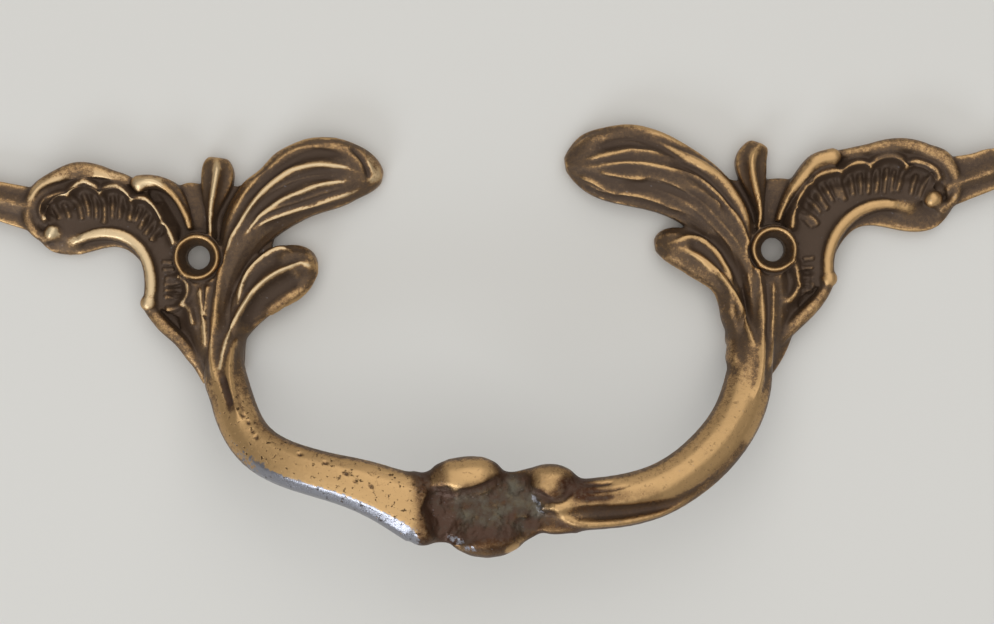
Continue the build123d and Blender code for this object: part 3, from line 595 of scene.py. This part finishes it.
def chasingTree():
    tree, node, link = newTree("chasedLine", [
        ("Lines", "Object"), ("Width", "Float"), ("Height", "Float"), ("Sharp", "Float"), ("Fade", "Float"),
        ("Lean", "Float"), ("Upright", "Float")])
    given = node("NodeGroupInput")
    drawn = node("GeometryNodeObjectInfo")
    link(given.outputs["Lines"], drawn.inputs["Object"])
    fine = node("GeometryNodeResampleCurve", mode="LENGTH")
    fine.inputs["Length"].default_value = chasing["step"] * mm
    link(drawn.outputs["Geometry"], fine.inputs["Curve"])
    along = node("GeometryNodeSplineParameter")

    def product(a, b):
        made = node("ShaderNodeMath", operation="MULTIPLY")
        link(a, made.inputs[0])
        link(b, made.inputs[1])
        return made.outputs[0]

    def easeIn(source):  # 0 at a line's end to 1 past its fade
        made = node("ShaderNodeMapRange", interpolation_type="SMOOTHSTEP")
        link(source, made.inputs["Value"])
        made.inputs["From Min"].default_value = chasing["ends"]
        link(given.outputs["Fade"], made.inputs["From Max"])
        return made.outputs["Result"]

    back = node("ShaderNodeMath", operation="SUBTRACT")
    back.inputs[0].default_value = 1
    link(along.outputs["Factor"], back.inputs[1])
    store = node("GeometryNodeStoreNamedAttribute", data_type="FLOAT", domain="POINT")
    store.inputs["Name"].default_value = "lineStrength"
    link(fine.outputs["Curve"], store.inputs["Geometry"])
    link(product(easeIn(along.outputs["Factor"]), easeIn(back.outputs[0])), store.inputs["Value"])
    wire = node("GeometryNodeCurveToMesh")
    link(store.outputs["Geometry"], wire.inputs["Curve"])

    # the lines lie level, so each place on the skin looks for the line below it
    level = node("ShaderNodeVectorMath", operation="MULTIPLY")
    level.inputs[1].default_value = (1, 1, 0)
    link(node("GeometryNodeInputPosition").outputs["Position"], level.inputs[0])
    near = node("GeometryNodeProximity", target_element="EDGES")
    link(wire.outputs["Mesh"], near.inputs[0])
    link(level.outputs[0], near.inputs["Sample Position"])
    which = node("GeometryNodeSampleNearest", domain="POINT")
    link(wire.outputs["Mesh"], which.inputs["Geometry"])
    link(level.outputs[0], which.inputs["Sample Position"])
    stored = node("GeometryNodeInputNamedAttribute", data_type="FLOAT")
    stored.inputs["Name"].default_value = "lineStrength"
    strength = node("GeometryNodeSampleIndex", data_type="FLOAT", domain="POINT")
    link(wire.outputs["Mesh"], strength.inputs["Geometry"])
    link(stored.outputs["Attribute"], strength.inputs["Value"])
    link(which.outputs["Index"], strength.inputs["Index"])

    def closeness(kind):
        made = node("ShaderNodeMapRange", interpolation_type=kind)
        made.inputs["To Min"].default_value = 1
        made.inputs["To Max"].default_value = 0
        link(near.outputs["Distance"], made.inputs["Value"])
        link(given.outputs["Width"], made.inputs["From Max"])
        return made.outputs["Result"]

    straight = closeness("LINEAR")
    section = node("ShaderNodeMix", data_type="FLOAT")
    link(given.outputs["Sharp"], section.inputs["Factor"])
    link(closeness("SMOOTHERSTEP"), section.inputs["A"])
    link(product(straight, straight), section.inputs["B"])
    parts = node("ShaderNodeSeparateXYZ")
    link(node("GeometryNodeInputNormal").outputs["Normal"], parts.inputs[0])
    steep = node("ShaderNodeMath", operation="ADD")
    steep.inputs[1].default_value = chasing["turn"]
    link(given.outputs["Lean"], steep.inputs[0])
    upward = node("ShaderNodeMapRange", interpolation_type="SMOOTHSTEP")
    link(parts.outputs["Z"], upward.inputs["Value"])
    link(given.outputs["Lean"], upward.inputs["From Min"])
    link(steep.outputs[0], upward.inputs["From Max"])
    amount = product(given.outputs["Height"], section.outputs["Result"])
    amount = product(product(amount, strength.outputs["Value"]), upward.outputs["Result"])
    direction = node("ShaderNodeMix", data_type="VECTOR")
    direction.inputs[5].default_value = (0, 0, 1)
    link(given.outputs["Upright"], direction.inputs["Factor"])
    link(node("GeometryNodeInputNormal").outputs["Normal"], direction.inputs[4])
    pushedSkin(node, link, given, amount, direction.outputs[1])
    return tree


def roughCastTree():
    tree, node, link = newTree("roughCast", [("Amount", "Float"), ("Scale", "Float")])
    given = node("NodeGroupInput")
    lumps = node("ShaderNodeTexNoise")
    lumps.inputs["Detail"].default_value = knotLook["lumpDetail"]
    lumps.inputs["Roughness"].default_value = knotLook["lumpRoughness"]
    link(given.outputs["Scale"], lumps.inputs["Scale"])
    swing = node("ShaderNodeMath", operation="SUBTRACT")
    swing.inputs[1].default_value = 0.5  # lumps and hollows alike
    link(lumps.outputs["Fac"], swing.inputs[0])
    field = node("GeometryNodeInputNamedAttribute", data_type="FLOAT")
    field.inputs["Name"].default_value = "field"
    amount = given.outputs["Amount"]
    for factor in (swing.outputs[0], field.outputs["Attribute"]):
        made = node("ShaderNodeMath", operation="MULTIPLY")
        link(amount, made.inputs[0])
        link(factor, made.inputs[1])
        amount = made.outputs[0]
    pushedSkin(node, link, given, amount, node("GeometryNodeInputNormal").outputs["Normal"])
    return tree


def worked(piece, name, tree, **values):
    step = piece.modifiers.new(name, "NODES")
    step.node_group = tree
    for item in tree.interface.items_tree:
        if item.in_out == "INPUT" and item.name in values:
            step[item.identifier] = values[item.name]


# the finish: brown patina in the hollows, brass polished by hands on what stands proud, and painted light:
# a paler painted highlight on the left wing, a painted bluish-grey reflection on the left bar's flank and
# painted glints on the knot
brassLook = {
    "gold": (0.55, 0.352, 0.165),
    # paler gold: a painted highlight on the left wing's rubbed ridges
    "pale": (0.70, 0.56, 0.36),
    "rubbed": (0.33, 0.203, 0.100),
    "bronze": (0.140, 0.090, 0.054),
    "patina": (0.068, 0.041, 0.025),
    "grime": (0.045, 0.025, 0.014),
    "tarnish": (0.066, 0.029, 0.015),
    "field": (0.062, 0.041, 0.026),
    "verdigris": (0.105, 0.096, 0.070),
    # bluish grey: a painted reflection of the lower-left light on the left bar's flank, and painted glints
    # on the knot
    "paintedReflection": (0.27, 0.27, 0.30),
}

patinaLook = {
    "blotch": (260, 4),          # textures: scale and detail
    "speck": (1500, 3),
    "sand": (5200, 2),
    "pits": (1300, 3),
    "salts": (420, 4),
    "handledShare": 1.2,         # what each mark and texture adds to the wear
    "markShares": (("crest", 0.6), ("form", 0.25), ("field", -1.3), ("tarnish", -1.0), ("sheltered", -0.6)),
    "textureShares": (1.0, 1.6, 1.4),
    "bronzeWear": (-0.6, 0.3),   # the wear where each colour begins and is full
    "rubbedWear": (0.25, 0.8),
    "goldWear": (0.65, 1.2),
    "paleWear": (0.6, 1.2),
    "greenShare": 0.22,
    "fieldSalts": (0.42, 0.62),
    "verdigrisSalts": (0.54, 0.88),
    "fieldCover": 0.85,
    "tarnishCover": (0.3, 0.6, 0.3, 0.9),
    "reflectionSpread": 2.0,
    "reflectionEdge": (0.32, 0.72),
    "pitEdge": (0.60, 0.68),
    "pitCover": 0.85,
    "metal": (-0.5, 0.6, 0.45, 1.0),   # from dull patina to clean metal
    "gloss": (-0.3, 1.0, 0.58, 0.42),  # roughness of patina and of worn brass, and what changes it
    "glossSpeck": 0.2,
    "fieldGloss": 0.16,
    "reflectionGloss": 0.14,
    "grainStrength": 0.5,
    "grainDepth": 0.15,
    "grainShares": (0.5, 0.5, 0.25),
}


def agedBrass():
    made = bpy.data.materials.new("agedBrass")
    made.use_nodes = True
    nodes, link = made.node_tree.nodes, made.node_tree.links.new
    shader = nodes["Principled BSDF"]

    def node(kind, **values):
        built = nodes.new(kind)
        for key, value in values.items():
            setattr(built, key, value)
        return built

    place = node("ShaderNodeTexCoord").outputs["Object"]

    def noise(scale, detail, rough=0.6):
        built = node("ShaderNodeTexNoise")
        built.inputs["Scale"].default_value = scale
        built.inputs["Detail"].default_value = detail
        built.inputs["Roughness"].default_value = rough
        link(place, built.inputs["Vector"])
        return built.outputs["Fac"]

    def ranged(value, low, high, toLow=0.0, toHigh=1.0):
        built = node("ShaderNodeMapRange", interpolation_type="SMOOTHSTEP")
        link(value, built.inputs["Value"])
        for label, number in (("From Min", low), ("From Max", high), ("To Min", toLow), ("To Max", toHigh)):
            built.inputs[label].default_value = number
        return built.outputs["Result"]

    def sums(operation, a, b):
        built = node("ShaderNodeMath", operation=operation)
        for socket, value in zip(built.inputs, (a, b)):
            if isinstance(value, (int, float)):
                socket.default_value = value
            else:
                link(value, socket)
        return built.outputs[0]

    def mixed(share, a, b):
        built = node("ShaderNodeMix", data_type="RGBA")
        link(share, built.inputs["Factor"])
        for socket, value in ((built.inputs[6], a), (built.inputs[7], b)):
            if isinstance(value, tuple):
                socket.default_value = (*value, 1)
            else:
                link(value, socket)
        return built.outputs[2]

    def mark(name):
        return node("ShaderNodeAttribute", attribute_name=name).outputs["Fac"]

    def around(texture, share):  # a texture's swing about its middle
        return sums("MULTIPLY", sums("SUBTRACT", texture, 0.5), share)

    look = patinaLook
    blotch, speck, sand = (noise(*look[name]) for name in ("blotch", "speck", "sand"))
    wear = sums("MULTIPLY", mark("handled"), look["handledShare"])
    for name, share in look["markShares"]:
        wear = sums("ADD", wear, sums("MULTIPLY", mark(name), share))
    for texture, share in zip((blotch, speck, sand), look["textureShares"]):
        wear = sums("ADD", wear, around(texture, share))

    # patina to bronze to rubbed brass to gold, as the wear grows
    colour = mixed(ranged(wear, *look["bronzeWear"]), brassLook["patina"], brassLook["bronze"])
    colour = mixed(ranged(wear, *look["rubbedWear"]), colour, brassLook["rubbed"])
    colour = mixed(ranged(wear, *look["goldWear"]), colour, brassLook["gold"])
    # the left wing's rubbed ridges are painted paler: a painted highlight
    pale = sums("MULTIPLY", mark("paleHighlight"), ranged(wear, *look["paleWear"]))
    colour = mixed(pale, colour, brassLook["pale"])

    # stains, salts, the painted reflection and painted glints, and pits
    green = sums("ADD", noise(*look["salts"]), sums("MULTIPLY", mark("green"), look["greenShare"]))
    dull = mixed(ranged(green, *look["fieldSalts"]), brassLook["tarnish"], brassLook["field"])
    dull = mixed(ranged(green, *look["verdigrisSalts"]), dull, brassLook["verdigris"])
    colour = mixed(sums("MULTIPLY", mark("field"), look["fieldCover"]), colour, dull)
    stain = sums("MULTIPLY", mark("tarnish"), ranged(speck, *look["tarnishCover"]))
    colour = mixed(stain, colour, brassLook["tarnish"])
    paintedReflection = ranged(sums("ADD", mark("paintedReflection"), around(speck, look["reflectionSpread"])), *look["reflectionEdge"])
    colour = mixed(paintedReflection, colour, brassLook["paintedReflection"])
    pits = sums("MULTIPLY", ranged(noise(*look["pits"]), *look["pitEdge"]), mark("pitted"))
    colour = mixed(sums("MULTIPLY", pits, look["pitCover"]), colour, brassLook["grime"])
    link(colour, shader.inputs["Base Color"])
    link(ranged(wear, *look["metal"]), shader.inputs["Metallic"])

    gloss = sums("ADD", ranged(wear, *look["gloss"]), around(speck, look["glossSpeck"]))
    gloss = sums("SUBTRACT", gloss, sums("MULTIPLY", mark("field"), look["fieldGloss"]))
    gloss = sums("SUBTRACT", gloss, sums("MULTIPLY", paintedReflection, look["reflectionGloss"]))
    link(gloss, shader.inputs["Roughness"])
    grain = node("ShaderNodeBump")
    grain.inputs["Strength"].default_value = look["grainStrength"]
    grain.inputs["Distance"].default_value = look["grainDepth"] * mm
    parts = [sums("MULTIPLY", *pair) for pair in zip((speck, blotch, sand), look["grainShares"])]
    texture = sums("ADD", sums("ADD", parts[0], parts[1]), parts[2])
    link(sums("SUBTRACT", texture, pits), grain.inputs["Height"])
    link(grain.outputs["Normal"], shader.inputs["Normal"])
    return made


def setMark(mesh, name, values):
    layer = mesh.attributes.new(name, "FLOAT", "POINT")
    layer.data.foreach_set("value", values.astype(np.float32))


setMark(pull.data, "field", field)
brass = agedBrass()
tree = chasingTree()
drawings = []
for name, values in lineSets.items():
    drawings.append(drawnLines(name, values["lines"]))
    worked(pull, name, tree, Lines=drawings[-1], Finish=brass,
           Width=values["width"] * mm, Height=values["height"] * mm, Sharp=values["sharp"],
           Fade=values["fade"], Lean=values["lean"], Upright=values.get("upright", 0.0))
worked(pull, "roughField", roughCastTree(), Finish=brass,
       Amount=knotLook["lumps"] * mm, Scale=knotLook["lumpScale"])
settle(pull)
for drawn in drawings:
    bpy.data.objects.remove(drawn)
print("stage: lines chased")


# where the rubbed brass shows most on the wings: how much, and along which line
giltLines = [
    (0.7, [(-68.6, 3.0), (-66.0, 4.0), (-63.3, 4.3), (-60.0, 3.4), (-57.6, 1.6), (-56.2, -1.2),
           (-55.8, -4.3), (-56.2, -7.5)]),
    (1.1, [(-72.4, 4.6), (-71.8, 4.4)]),
    (0.7, [(-45.2, 5.0), (-45.4, 9.0), (-44.9, 12.4), (-44.6, 15.0)]),
    (0.7, [(-58.2, 12.2), (-56.0, 12.6), (-54.4, 12.2)]),
    (0.4, [(-75.4, 9.6), (-74.0, 12.1), (-70.6, 13.3), (-64.8, 13.9), (-60.5, 12.9)]),
    (0.4, [(-47.7, -4.7), (-47.0, -10.1), (-46.5, -15.4)]),
    (0.7, [(71.0, 6.4), (68.0, 7.4), (65.0, 7.2), (61.4, 5.4), (58.6, 2.6), (57.2, -0.4), (57.0, -3.4),
           (57.2, -5.0)]),
    (0.9, [(74.4, 8.2), (75.0, 8.0)]),
    (0.7, [(58.6, 15.0), (56.4, 14.6), (54.0, 13.2), (51.8, 10.4)]),
    (0.7, [(45.0, 9.0), (44.6, 12.6), (45.2, 15.8)]),
    (0.5, [(44.8, -17.0), (43.2, -12.5), (41.6, -8.0), (39.2, -4.4), (35.9, -1.4)]),
    (0.7, [(-18.7, 15.7), (-17.8, 13.7), (-18.4, 12.4)]),
]

tarnishLines = [  # where the grip is stained dark: reach, strength and line
    (2.9, 1.35, [(12.5, -37.7), (14.7, -38.3), (16.0, -38.7)]),
    (2.6, 0.9, [(15.5, -38.5), (17.2, -39.0), (18.6, -39.3)]),
    (2.3, 0.55, [(17.6, -39.1), (20.1, -39.6), (21.4, -39.7)]),
    (1.6, 0.35, [(20.0, -39.8), (24.0, -39.7), (26.5, -39.2)]),
    (1.5, 0.42, [(13.8, -41.0), (19.2, -42.1), (24.7, -41.7), (30.3, -40.7), (34.7, -38.6),
                 (39.1, -35.3), (41.4, -32.1)]),
    (3.0, 1.0, [(-8.1, -39.0), (-8.4, -41.5), (-7.5, -44.1), (-6.3, -45.7)]),
    (3.8, 1.0, [(-2.0, -46.2), (0.4, -46.6), (1.8, -46.2)]),
    (1.5, 0.9, [(-3.6, -37.9), (-1.3, -37.6), (0.6, -36.6), (2.1, -35.9)]),
    (4.0, 0.3, [(8.6, -36.6), (10.8, -36.2)]),
    (1.7, 1.0, [(8.3, -38.7), (9.5, -39.5), (10.8, -38.9)]),
    (2.4, 1.0, [(-11.9, -33.7), (-10.7, -35.0), (-10.4, -36.8), (-10.1, -40.0), (-9.9, -43.2),
                (-10.6, -46.1)]),
    (2.4, 0.8, [(7.4, -46.0), (9.8, -44.6), (12.2, -44.6), (14.6, -45.0)]),
    (2.0, 0.4, [(15.5, -44.9), (21.2, -44.2), (27.7, -42.3), (34.2, -38.8), (39.2, -34.7)]),
    (2.0, 0.7, [(-8.4, -34.6), (-7.6, -36.6)]),
    (1.7, 0.7, [(1.6, -34.6), (2.4, -35.8)]),
    (1.2, 0.9, [(-43.6, -19.4), (-43.0, -21.2), (-42.2, -23.2), (-41.6, -24.7)]),
]

# on the knot: green salts, painted glints and the chip of gold at its foot
greenLines = [(0.6, [(-4.1, -38.8), (1.8, -39.2), (4.4, -41.5), (-3.1, -41.4)]),
              (1.1, [(4.2, -39.0), (5.7, -39.6), (7.6, -40.9)])]
glintLines = [[(7.4, -39.6), (8.2, -41.6)], [(-6.0, -45.8), (-4.4, -46.5)],
              [(-3.7, -47.3), (-2.4, -47.6)]]
chipLine = [(3.3, -48.0), (4.1, -47.6)]

# pairs say where a mark ends and where it is full: mm from its line, height, place in x, or facing
wearLook = {
    "proud": (("crest", 16, 0.08), ("form", 180, 0.45)),  # passes, and the height that counts in full
    "proudMost": 1.5,
    "proudPasses": 3,
    "grip": (7, 13),
    "floor": (1, 3),
    "giltReach": (1.6, 0.3),
    "giltFacing": (0.3, 0.9),
    "ribReach": (0.5, 0.0),
    "ribLeft": 0.85,
    "ribRight": 0.4,
    "paleSide": (-12, -20),     # the left wing's rubbed ridges are painted paler, a painted highlight
    "stainFull": 0.2,           # share of a stain's reach that is fully dark
    "stainFacing": (-0.4, 0.2),
    "chip": 0.8,
    "chipReach": (1.0, 0.3),
    "chipFacing": (-0.2, 0.2),
    "chipHandled": 1.2,
    "greenReach": (3.0, 0.3),
    "sheltered": (("shellLeft", 1), ("shellRight", 1), ("upperLeafRight", 0.5), ("upperLeafLeft", 0.5),
                  ("lowerLeafLeft", 0.3)),
    "shelterPasses": 12,
    "seatReach": (3.5, 3.2),
    "seatLevels": (2, 3),
    "seatHandled": 0.4,
    "handledFacing": (0.1, 0.95),
    "pitted": 0.35,             # the right bar has this share of the left one's pits
    "pittedSide": (-7, -10),
    "flankFacing": (0.3, 0.65),  # the painted bluish-grey reflection on the left bar's flank that faces the lower-left light: two ways that it faces, and where it lies
    "flankWays": ((-0.42, -0.9, 0.1), (-0.75, -0.65, 0.1)),
    "flankBend": (-36, -31),
    "flankStart": (-45, -33),
    "flankEnd": (-10.5, -12),
    "flankLevels": (9, 14),
    "glint": 0.5,
    "glintReach": (1.0, 0.2),
    "glintFacing": (0, 0.3),
}


# the strongest of the marks along lines: strength, reach and line of each
def alongLines(x, y, drawn):
    most = np.zeros(len(x))
    for strength, reach, line in drawn:
        most = np.maximum(most, strength * ramp(lineDistance(x, y, line), *reach))
    return most


# how far each place stands proud, fine and broad, where hands have polished it, and where light is painted:
# a paler highlight on the left wing, a reflection on the left bar's flank, glints on the knot
def wearMarks(mesh):
    look = wearLook
    points, normals, edges = pointsOf(mesh), normalsOf(mesh), edgesOf(mesh)
    for name, passes, full in look["proud"]:
        mean = relaxed(points, edges, passes, halfWay)
        proud = ((points - mean) * normals).sum(1) / (full * mm)
        proud = relaxed(proud[:, None], edges, look["proudPasses"], halfWay)[:, 0]
        setMark(mesh, name, np.clip(proud, -look["proudMost"], look["proudMost"]))
    x, y, z = (points / mm).T
    facing = normals[:, 2]
    bar = ramp(z, *look["grip"])

    ribs = [(look["ribLeft"] if line[0][0] < 0 else look["ribRight"], look["ribReach"], line)
            for line in lips + lineSets["leafRib"]["lines"]]
    rubbed = [(strength, look["giltReach"], line) for strength, line in giltLines]
    gilt = alongLines(x, y, rubbed + ribs)
    gilt *= ramp(facing, *look["giltFacing"])
    # a painted highlight: the left wing's rubbed ridges, to be painted paler
    setMark(mesh, "paleHighlight", np.minimum(gilt, 1) * ramp(x, *look["paleSide"]))

    stains = [(strength, (reach, reach * look["stainFull"]), line)
              for reach, strength, line in tarnishLines]
    chip = alongLines(x, y, [(look["chip"], look["chipReach"], chipLine)]) * bar
    chip *= ramp(facing, *look["chipFacing"])
    tarnish = alongLines(x, y, stains) * bar * ramp(facing, *look["stainFacing"])
    setMark(mesh, "tarnish", tarnish * (1 - chip))
    salts = [(strength, look["greenReach"], line) for strength, line in greenLines]
    setMark(mesh, "green", alongLines(x, y, salts))

    sheltered = np.zeros((len(points), 1))
    for pad, share in look["sheltered"]:
        sheltered[within(points, pads[pad][-1])] = share
    setMark(mesh, "sheltered", relaxed(sheltered, edges, look["shelterPasses"], halfWay)[:, 0])

    ringX = casting["ringPlaces"][-1]
    seat = ramp(np.hypot(np.abs(x) - ringX, y), *look["seatReach"]) * ramp(z, *look["seatLevels"])
    handled = bar * ramp(facing, *look["handledFacing"]) + chip * look["chipHandled"]
    handled = handled + seat * look["seatHandled"] + gilt
    setMark(mesh, "handled", handled * ramp(z, *look["floor"]))
    setMark(mesh, "pitted", bar * (look["pitted"] + (1 - look["pitted"]) * ramp(x, *look["pittedSide"])))

    # a painted reflection: the left bar's flank that faces the lower-left light is painted bluish grey
    along, bend = (normals @ way for way in look["flankWays"])
    flank = np.maximum(along, bend - ramp(x, *look["flankBend"]))
    paintedReflection = ramp(flank, *look["flankFacing"]) * ramp(x, *look["flankStart"])
    paintedReflection = paintedReflection * ramp(x, *look["flankEnd"]) * ramp(z, *look["flankLevels"])
    # painted glints on the knot: small painted highlights
    glints = alongLines(x, y, [(look["glint"], look["glintReach"], line) for line in glintLines]) * bar
    setMark(mesh, "paintedReflection", np.maximum(paintedReflection, glints * ramp(facing, *look["glintFacing"])))


wearMarks(pull.data)
thin = pull.modifiers.new("thin", "DECIMATE")
triangles = sum(len(face.vertices) - 2 for face in pull.data.polygons)
thin.ratio = min(1.0, casting["triangles"] / triangles)
settle(pull)
putPoints(pull.data, np.clip(pointsOf(pull.data), *(np.array(corner) for corner in cadBox)))
pull.data.shade_smooth()
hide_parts("pull")
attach(pull, "root")
print("stage: casting finished,", triangles, "triangles to", len(pull.data.polygons))


# the pale floor, the camera straight above it and soft light around
stageLook = {
    "floor": (0.66, 0.655, 0.635),
    "floorSize": 6.0,
    "floorRoughness": 0.7,
    "cameraHeight": 430.0,
    "cameraPlace": (1.77, -9.8),
    "cameraTurn": -0.79,
    "cameraNear": 10.0,
    "lens": 92.6,
    "room": (0.33, 0.325, 0.315),
    "lights": {  # place and size in metres, power, colour
        "lowerLeft": ((-0.48, -0.9, 0.45), (0.6, 0.25), 3.6, (0.88, 0.94, 1.0)),
        "farSide": ((0.15, 1.0, 0.9), (1.6, 1.0), 5, (1.0, 0.98, 0.95)),
        "overhead": ((0.0, -0.3, 1.6), (3.0, 3.0), 23, (1.0, 0.985, 0.955)),
    },
}


def paleFloor():
    bpy.ops.mesh.primitive_plane_add(size=stageLook["floorSize"], location=(0, 0, 0))
    floor = bpy.context.object
    floor.name = "floor"
    made = bpy.data.materials.new("palePaint")
    made.use_nodes = True
    shader = made.node_tree.nodes["Principled BSDF"]
    shader.inputs["Base Color"].default_value = (*stageLook["floor"], 1)
    shader.inputs["Roughness"].default_value = stageLook["floorRoughness"]
    floor.data.materials.append(made)


def softLight(name, place, size, power, colour):
    lamp = bpy.data.lights.new(name, "AREA")
    lamp.shape = "RECTANGLE"
    lamp.size, lamp.size_y = size
    lamp.energy = power
    lamp.color = colour
    made = bpy.data.objects.new(name, lamp)
    made.location = place
    made.rotation_euler = (-Vector(place)).to_track_quat("-Z", "Y").to_euler()
    bpy.context.scene.collection.objects.link(made)


paleFloor()
for name, values in stageLook["lights"].items():
    softLight(name, *values)
scene = bpy.context.scene
scene.world = bpy.data.worlds.new("room")
scene.world.use_nodes = True
scene.world.node_tree.nodes["Background"].inputs["Color"].default_value = (*stageLook["room"], 1)
scene.view_settings.view_transform = "Standard"
camera = bpy.data.objects.new("camera", bpy.data.cameras.new("camera"))
camera.data.lens = stageLook["lens"]
camera.data.clip_start = stageLook["cameraNear"] * mm
x, y = stageLook["cameraPlace"]
camera.location = (x * mm, y * mm, stageLook["cameraHeight"] * mm)
camera.rotation_euler = (0, 0, math.radians(stageLook["cameraTurn"]))
scene.collection.objects.link(camera)
scene.camera = camera
print("stage: stage set")
